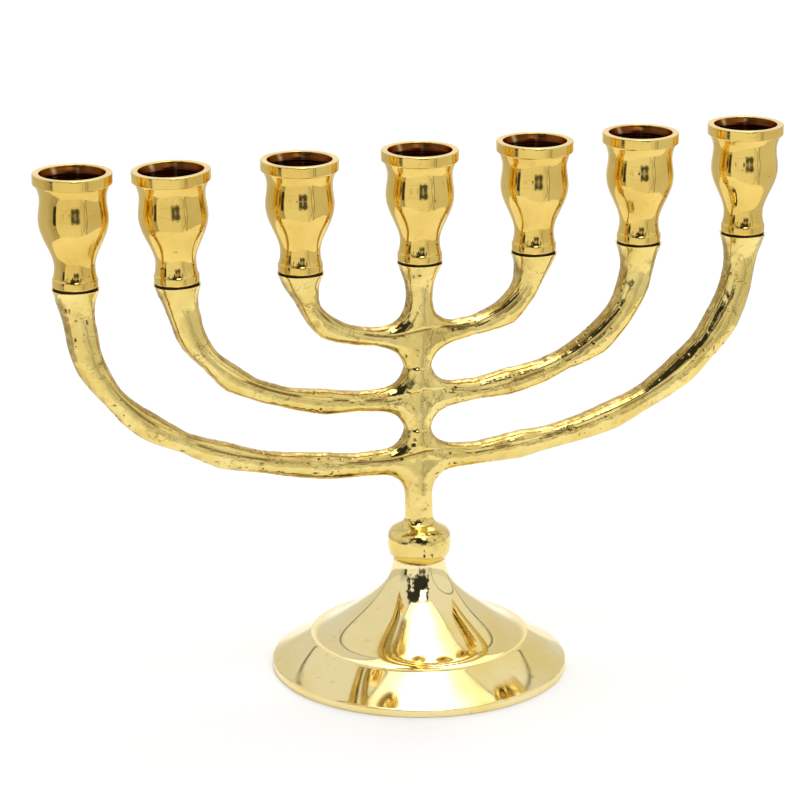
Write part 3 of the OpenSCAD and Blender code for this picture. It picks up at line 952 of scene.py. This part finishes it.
def make_floor():
    """A pale floor. Only its middle, the size of a small table, is mirrored in the metal."""
    count = 128
    angles = np.linspace(0, 2 * math.pi, count, endpoint=False)
    c, s = np.cos(angles), np.sin(angles)
    power = TABLE["power"]
    reach = (np.abs(c / TABLE["half_x"]) ** power + np.abs(s / TABLE["half_y"]) ** power) ** (-1 / power)
    inner = [(x, y, 0) for x, y in zip(reach * c, reach * s)]
    outer = [(FLOOR_RADIUS * x, FLOOR_RADIUS * y, 0) for x, y in zip(c, s)]
    quads = [(k, (k + 1) % count, (k + 1) % count + count, k + count) for k in range(count)]
    material = floor_material("floor_paper")
    for name, points, faces in (("table", inner, [list(range(count))]), ("floor", inner + outer, quads)):
        mesh = bpy.data.meshes.new(name)
        mesh.from_pydata(points, [], [face[::-1] if name == "floor" else face for face in faces])
        mesh.materials.append(material)
        piece = bpy.data.objects.new(name, mesh)
        bpy.context.scene.collection.objects.link(piece)
        piece.visible_glossy = name == "table"


class Sky(Graph):
    """The world's node tree, which paints the studio by direction, seen from the object."""

    def __init__(self, world):
        world.use_nodes = True
        self.tree = world.node_tree
        self.tree.nodes.clear()
        way = self.add("ShaderNodeSeparateXYZ")
        self.link(self.add("ShaderNodeTexCoord").outputs["Generated"], way.inputs[0])
        x, y, self.up = way.outputs
        turn = math.radians(CAMERA["azimuth"])
        self.ahead = self.math("SUBTRACT", self.math("MULTIPLY", x, math.sin(turn)),
                               self.math("MULTIPLY", y, math.cos(turn)))
        self.right = self.math("ADD", self.math("MULTIPLY", x, math.cos(turn)),
                               self.math("MULTIPLY", y, math.sin(turn)))
        self.azimuth = self.math("DEGREES", self.math("ARCTAN2", self.right, self.ahead))
        self.height = self.math("DEGREES", self.math("ARCSINE", self.up))
        waver = self.add("ShaderNodeTexNoise")
        self.feed(waver, Scale=7.0, Detail=4.0)
        split = self.add("ShaderNodeSeparateColor")
        self.link(waver.outputs["Color"], split.inputs[0])
        self.waver = [self.math("SUBTRACT", split.outputs[i], 0.5) for i in (0, 1)]

    def step(self, low, high, value):
        node = self.add("ShaderNodeMapRange", interpolation_type="SMOOTHSTEP")
        for key, given in (("Value", value), ("From Min", low), ("From Max", high)):
            self.put(given, node.inputs[key])
        return node.outputs["Result"]

    def band(self, value, low, high, soft):
        return self.math("MULTIPLY", self.step(low - soft, low + soft, value),
                         self.step(high + soft, high - soft, value))

    def patch(self, azimuths, heights, soft=1.0, waver=0.0):
        """A patch of sky between two azimuths and two heights, in degrees, its edges moved by waver."""
        azimuth, height = (self.math("ADD", way, self.math("MULTIPLY", shift, waver))
                           for way, shift in zip((self.azimuth, self.height), self.waver))
        return self.math("MULTIPLY", self.band(azimuth, *azimuths, soft), self.band(height, *heights, soft))

    def hoop(self, azimuth, height, radius, width):
        """A thin round outline about a direction, in degrees."""
        aside = self.math("SUBTRACT", self.azimuth, azimuth)
        above = self.math("SUBTRACT", self.height, height)
        squares = (self.math("MULTIPLY", way, way) for way in (aside, above))
        far = self.math("SQRT", self.math("ADD", *squares))
        return self.band(far, radius - width / 2, radius + width / 2, 0.5)

    def paint(self, level, mask, value):
        """Sets the level to value where the mask is 1."""
        kept = self.math("MULTIPLY", level, self.math("SUBTRACT", 1.0, mask))
        return self.math("ADD", kept, self.math("MULTIPLY", mask, value))


BACKDROP = 1.05
# the box above, as slopes from the object: its edges, the bright core across it, its levels and its frame
SOFTBOX = {"left": -0.30, "right": 0.45, "front": 0.40, "back": -1.3, "middle": 0.06, "core": 0.17,
           "glow": 1.3, "bright": 3.2, "frame": 0.012, "frame_level": 0.05}
# patches of the studio, seen from the object: azimuths from the camera's, heights, level, softness, waver
WALLS = (
    ((-166, -143), (-90, 80), 0.74, 4.0, 0),
    ((138, 166), (-90, 80), 0.74, 4.0, 0),
    ((-143, -28), (-90, 3), 0.66, 1.0, 1),
    ((-143, -28), (3, 80), 0.82, 1.0, 1),
    ((24, 138), (-90, 3), 0.74, 1.0, 1),
    ((24, 138), (3, 80), 0.86, 1.0, 1),
    ((-80, -52), (-60, 12), 0.52, 9.0, 2),
    ((-53, 50), (-90, 3), 0.96, 0.5, 1),
    ((-143.8, -142.4), (-90, 62), 0.08, 0.5, 1),
    ((137.4, 138.8), (-90, 62), 0.08, 0.5, 1),
    ((-53.6, -52.4), (-90, 9), 0.20, 0.4, 1),
    ((-64, -52.5), (-13, 5), 0.05, 1.5, 6),
    ((28, 49), (-32, 2), 0.78, 7.0, 5),
    ((49.3, 50.4), (-90, 6), 0.25, 0.3, 2),
    ((-46, 34), (6, 67), 0.03, 2.0, 40),
    ((-36, -24), (12, 40), 0.95, 2.5, 30),
    ((2, 26), (38, 66), 3.0, 2.0, 25),
    ((-3, 27), (-9, 4), 0.42, 4.0, 12),
    ((0, 9), (-8, 3), 0.05, 2.5, 12),
    ((15, 24), (-8, 3), 0.05, 2.5, 12),
    ((0, 24), (-6, 0), 0.10, 2.0, 10),
    ((-42, 8), (-5.3, -4.6), 0.55, 0.3, 2),
)

# round outlines in the studio, in degrees: their height, line width, and azimuths and radii
HOOP = {"height": -13, "width": 2.2, "dim": 0.6, "rings": ((-7, 50), (94, 46))}


def make_world():
    """A studio: white backdrop, darker side walls, a dark opening at the camera, a softbox above."""
    world = bpy.data.worlds.new("studio")
    bpy.context.scene.world = world
    sky = Sky(world)
    level = BACKDROP
    for azimuths, heights, value, soft, waver in WALLS:
        level = sky.paint(level, sky.patch(azimuths, heights, soft, waver), value)
    for azimuth, radius in HOOP["rings"]:
        outline = sky.math("MULTIPLY", sky.hoop(azimuth, HOOP["height"], radius, HOOP["width"]), HOOP["dim"])
        level = sky.math("MULTIPLY", level, sky.math("SUBTRACT", 1.0, outline))
    above = sky.math("MAXIMUM", sky.up, 0.05)
    aside, forward = sky.math("DIVIDE", sky.right, above), sky.math("DIVIDE", sky.ahead, above)
    spread = sky.math("DIVIDE", sky.math("SUBTRACT", aside, SOFTBOX["middle"]), SOFTBOX["core"])
    core = sky.math("EXPONENT", sky.math("MULTIPLY", -1.0, sky.math("MULTIPLY", spread, spread)))
    glow = sky.math("ADD", SOFTBOX["glow"], sky.math("MULTIPLY", core, SOFTBOX["bright"]))
    for grow, value in ((SOFTBOX["frame"], SOFTBOX["frame_level"]), (0.0, glow)):
        box = sky.math("MULTIPLY", sky.band(aside, SOFTBOX["left"] - grow, SOFTBOX["right"] + grow, 0.006),
                       sky.band(forward, SOFTBOX["back"] - grow, SOFTBOX["front"] + grow, 0.01))
        level = sky.paint(level, sky.math("MULTIPLY", box, sky.step(0.1, 0.2, sky.up)), value)
    background = sky.add("ShaderNodeBackground")
    sky.feed(background, Color=(1.0, 1.0, 0.99, 1), Strength=level)
    sky.link(background.outputs[0], sky.add("ShaderNodeOutputWorld").inputs[0])


bpy.context.scene.view_settings.view_transform = "Standard"
bpy.context.scene.view_settings.look = "None"
make_camera()
make_world()
make_floor()

cup_materials = [turned_brass("turned_brass"), socket_brass("socket_brass"), dark_joint("joint_dark")]
screw = machined_brass("screw_brass")
for place in PLACES:
    make_cup(place, cup_materials)
    axis = cup_axis(place)
    low_end = seat_point(place) - axis * ARM_THREAD
    make_stud("thread_" + place, "stud_" + place, low_end, axis, CUP_PITCH, "screw_" + place, screw)
low_end = Vector((0, 0, node_box("base_stud")[0][2]))
make_stud("thread_base", "base_stud", low_end, Vector((0, 0, 1)), BASE_PITCH, "base_screw", screw)
make_base([polished_brass("base_brass"), machined_brass("base_underside")])
make_casting([cast_brass("cast_brass")])
for node in ("base_washer", "base_nut"):
    frame["nodes"][node].data.materials[0] = screw
